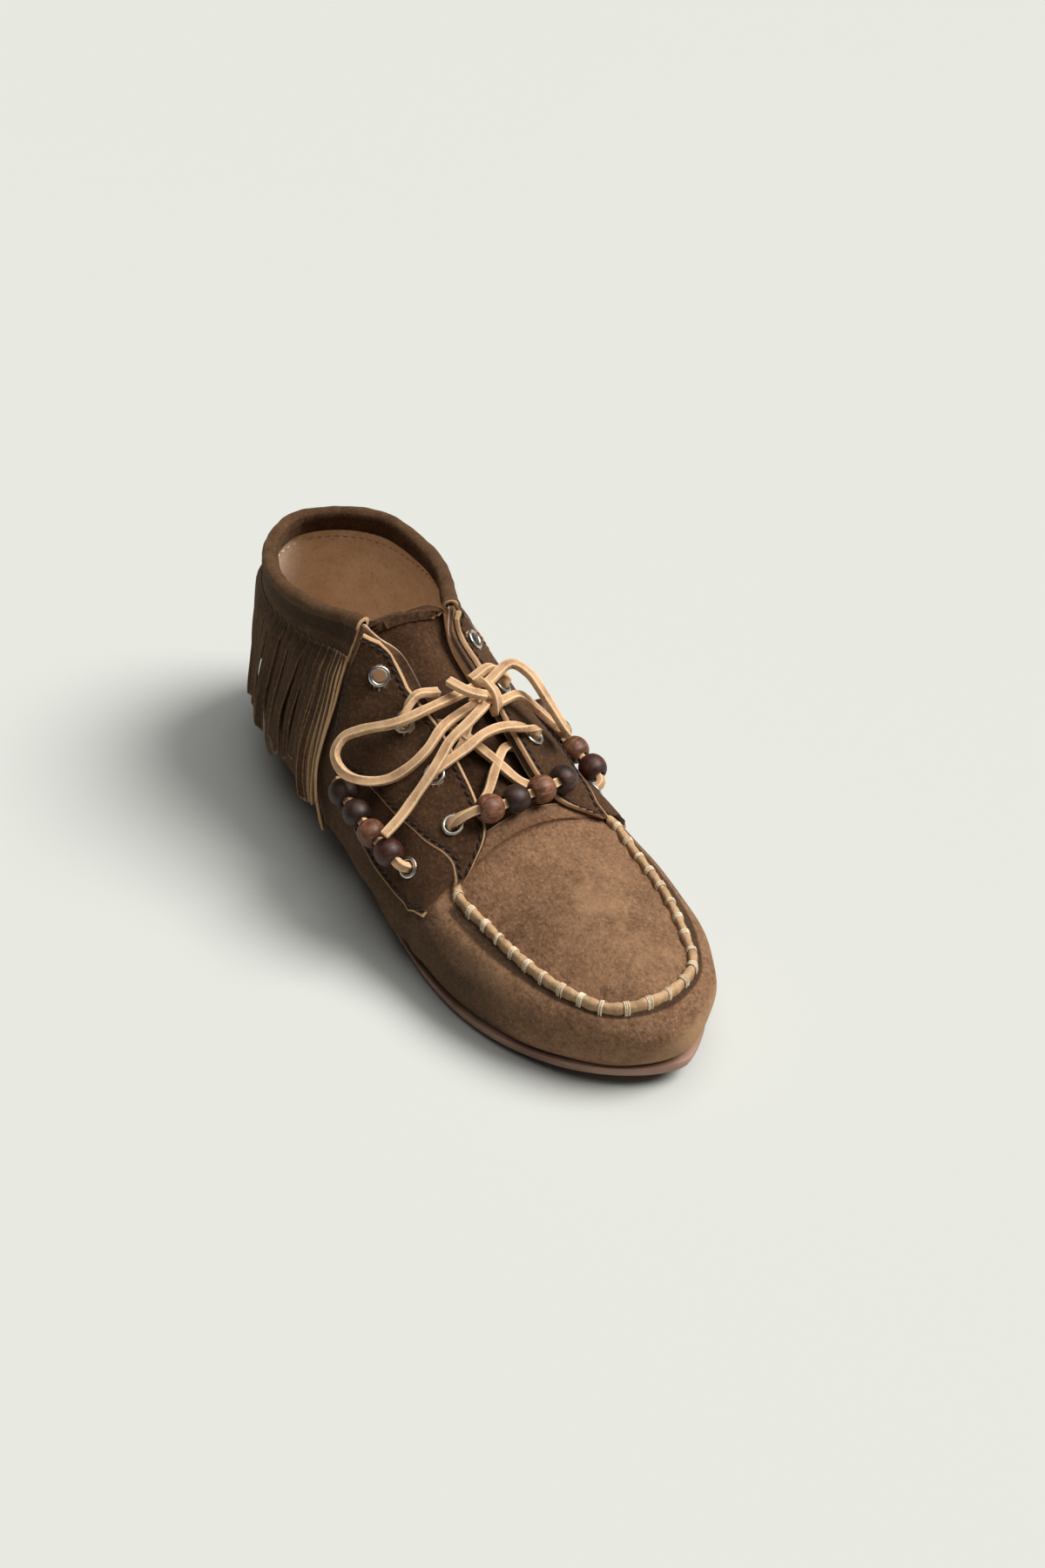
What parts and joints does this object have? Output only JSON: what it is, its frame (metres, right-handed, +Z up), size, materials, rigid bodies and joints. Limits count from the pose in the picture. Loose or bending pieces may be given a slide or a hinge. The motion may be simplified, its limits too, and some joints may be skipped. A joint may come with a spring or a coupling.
{
  "type": "fringed moccasin boot",
  "caption": "Low suede moccasin-style boot for the right foot with a flat rubber sole, a stitched toe seam, laced front facings and a fringed collar cuff.",
  "frame": {"origin": "on the floor, in the middle of the heel's flat spot", "axes": "+X from the heel to the toe, +Y to the wearer's left (the inner side of the foot), +Z up"},
  "size_m": [0.2616, 0.0947, 0.0997],
  "materials": {
    "sole_rubber": "smooth moulded",
    "suede": "brushed suede, worn",
    "dark_suede": "brushed suede",
    "lining": "smooth tan lining",
    "lace_leather": "raw-edged thong",
    "eyelet_metal": "plated",
    "bead_light": "polished",
    "bead_dark": "polished",
    "bead_red": "polished"
  },
  "bodies": {
    "root": {"bead_bar_1_light": "bead_light", "bead_bar_2_dark": "bead_dark", "bead_bar_3_light": "bead_light", "bead_bar_4_dark": "bead_dark", "bead_lateral_1_red": "bead_red", "bead_lateral_2_light": "bead_light", "bead_lateral_3_dark": "bead_dark", "bead_lateral_4_light": "bead_light", "bead_medial_1_red": "bead_red", "bead_medial_2_light": "bead_light", "bead_medial_3_dark": "bead_dark", "bead_medial_4_light": "bead_light", "eyelet_lateral_1": "eyelet_metal", "eyelet_lateral_2": "eyelet_metal", "eyelet_lateral_3": "eyelet_metal", "eyelet_lateral_4": "eyelet_metal", "eyelet_medial_1": "eyelet_metal", "eyelet_medial_2": "eyelet_metal", "eyelet_medial_3": "eyelet_metal", "eyelet_medial_4": "eyelet_metal", "eyestay_lateral": "dark_suede", "eyestay_medial": "dark_suede", "fringe_cuff": "dark_suede", "insole": "lining", "lace_bars": "lace_leather", "lace_end_long": "lace_leather", "lace_end_short": "lace_leather", "lace_knot": "lace_leather", "lace_loop_left": "lace_leather", "lace_loop_right": "lace_leather", "outsole": "sole_rubber", "quarter_lateral": "dark_suede", "quarter_medial": "dark_suede", "side_eyelet_lateral": "eyelet_metal", "side_eyelet_medial": "eyelet_metal", "side_lace_lateral": "lace_leather", "side_lace_medial": "lace_leather", "tongue": "dark_suede", "upper": "suede"}
  },
  "joints": []
}
